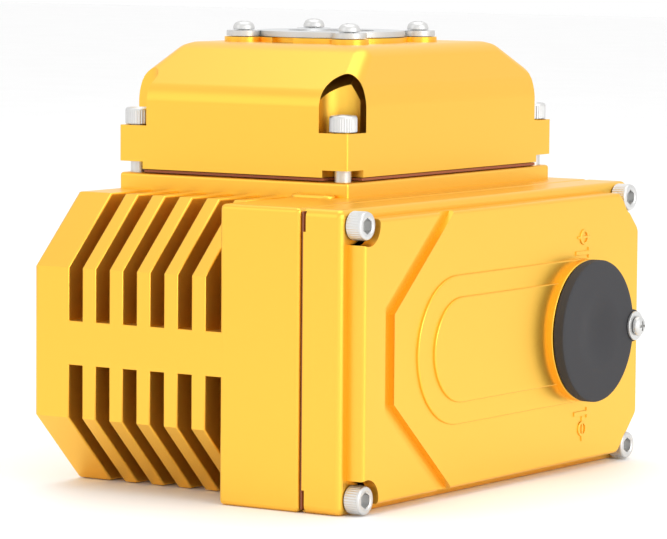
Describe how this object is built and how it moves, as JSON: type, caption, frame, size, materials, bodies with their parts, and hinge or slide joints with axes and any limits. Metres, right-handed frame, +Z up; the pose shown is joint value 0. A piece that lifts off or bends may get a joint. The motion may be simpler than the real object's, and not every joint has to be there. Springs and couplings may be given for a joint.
{
  "type": "motorized valve actuator",
  "caption": "Yellow quarter-turn electric valve actuator: finned cast housing, side gear cover with rubber override cap, and hipped top cover with round position window.",
  "frame": {"origin": "bottom centre of the whole object", "axes": "+Z up along the output shaft, -Y toward the finned front, +X toward the side cover with the rubber cap"},
  "size_m": [0.149, 0.2162, 0.1643],
  "materials": {
    "yellow_paint": "glossy yellow powder coat over die-cast aluminium, faint orange peel",
    "bright_steel": "bright stainless steel, turned, knurled heads",
    "window_steel": "bright zinc-plated sheet",
    "gasket_fibre": "matte red-brown fibre sheet",
    "black_rubber": "satin dark grey rubber",
    "clear_glass": "clear polished glass",
    "dark_steel": "machined dark steel, oiled",
    "bronze": "machined bronze",
    "plain_steel": "zinc-plated steel",
    "motor_can": "satin grey can",
    "pale_plastic": "satin moulded pale plastic",
    "blue_plastic": "satin moulded blue plastic",
    "red_plastic": "satin moulded red plastic",
    "green_plastic": "satin moulded green plastic",
    "black_plastic": "satin moulded black plastic"
  },
  "bodies": {
    "housing": {"main_housing": "yellow_paint", "side_cover": "yellow_paint", "top_cover": "yellow_paint", "side_cover_screw_1": "bright_steel", "side_cover_screw_2": "bright_steel", "side_cover_screw_3": "bright_steel", "side_cover_screw_4": "bright_steel", "top_cover_screw_1": "bright_steel", "top_cover_screw_2": "bright_steel", "top_cover_screw_3": "bright_steel", "top_cover_screw_4": "bright_steel", "window_screw_1": "bright_steel", "window_screw_2": "bright_steel", "window_screw_3": "bright_steel", "window_screw_4": "bright_steel", "cap_washer": "bright_steel", "cap_screw": "bright_steel", "plate_screw_1": "bright_steel", "plate_screw_2": "bright_steel", "plate_screw_3": "bright_steel", "plate_screw_4": "bright_steel", "window_plate": "window_steel", "side_gasket": "gasket_fibre", "top_gasket": "gasket_fibre", "window_gasket": "black_rubber", "shaft_seal": "black_rubber", "window_glass": "clear_glass", "lower_bush": "bronze", "upper_bush": "bronze", "worm_bearing_left": "plain_steel", "worm_bearing_right": "plain_steel", "idler_pin_1": "plain_steel", "idler_pin_2": "plain_steel", "switch_plate": "plain_steel", "switch_bracket": "plain_steel", "motor_body": "motor_can", "terminal_block": "pale_plastic", "capacitor": "pale_plastic", "potentiometer": "blue_plastic", "limit_switch_close": "black_plastic", "limit_switch_open": "black_plastic", "cable_gland_1": "black_plastic", "cable_gland_2": "black_plastic"},
    "output": {"output_shaft": "dark_steel", "worm_wheel": "bronze", "wheel_key": "dark_steel", "feedback_gear": "pale_plastic", "cam_close": "red_plastic", "cam_open": "green_plastic", "indicator_disc": "pale_plastic"},
    "worm": {"worm_shaft": "dark_steel", "worm_gear": "dark_steel"},
    "second_idler": {"idler_2": "dark_steel"},
    "first_idler": {"idler_1": "dark_steel"},
    "rotor": {"motor_shaft": "plain_steel"},
    "pot_spindle": {"pot_gear": "pale_plastic"},
    "cap": {"rubber_cap": "black_rubber"}
  },
  "joints": [
    {"name": "output_turn", "type": "hinge", "parent": "housing", "child": "output", "pos_m": [-0.0261, 0.00865, 0.0522], "axis": [0, 0, 1], "range_deg": [0, 90]},
    {"name": "worm_spin", "type": "hinge", "parent": "housing", "child": "worm", "pos_m": [-0.0261, 0.04185, 0.0522], "axis": [1, 0, 0], "range_deg": [0, 3240]},
    {"name": "second_idler_spin", "type": "hinge", "parent": "housing", "child": "second_idler", "pos_m": [0.0269, 0.01497, 0.06253], "axis": [1, 0, 0], "range_deg": [-9720, 0]},
    {"name": "first_idler_spin", "type": "hinge", "parent": "housing", "child": "first_idler", "pos_m": [0.0189, -0.01294, 0.05543], "axis": [1, 0, 0], "range_deg": [0, 29160]},
    {"name": "rotor_spin", "type": "hinge", "parent": "housing", "child": "rotor", "pos_m": [-0.0011, -0.03015, 0.08], "axis": [1, 0, 0], "range_deg": [-116640, 0]},
    {"name": "pot_turn", "type": "hinge", "parent": "housing", "child": "pot_spindle", "pos_m": [-0.0161, 0.03614, 0.108], "axis": [0, 0, 1], "range_deg": [-180, 0]},
    {"name": "cap_swing", "type": "hinge", "parent": "housing", "child": "cap", "pos_m": [0.0679, 0.06785, 0.0522], "axis": [1, 0, 0], "range_deg": [-100, 100]}
  ],
  "couplings": [
    {"joint": "worm_spin", "follows": "output_turn", "ratio": 36},
    {"joint": "second_idler_spin", "follows": "output_turn", "ratio": -108},
    {"joint": "first_idler_spin", "follows": "output_turn", "ratio": 324},
    {"joint": "rotor_spin", "follows": "output_turn", "ratio": -1296},
    {"joint": "pot_turn", "follows": "output_turn", "ratio": -2}
  ]
}
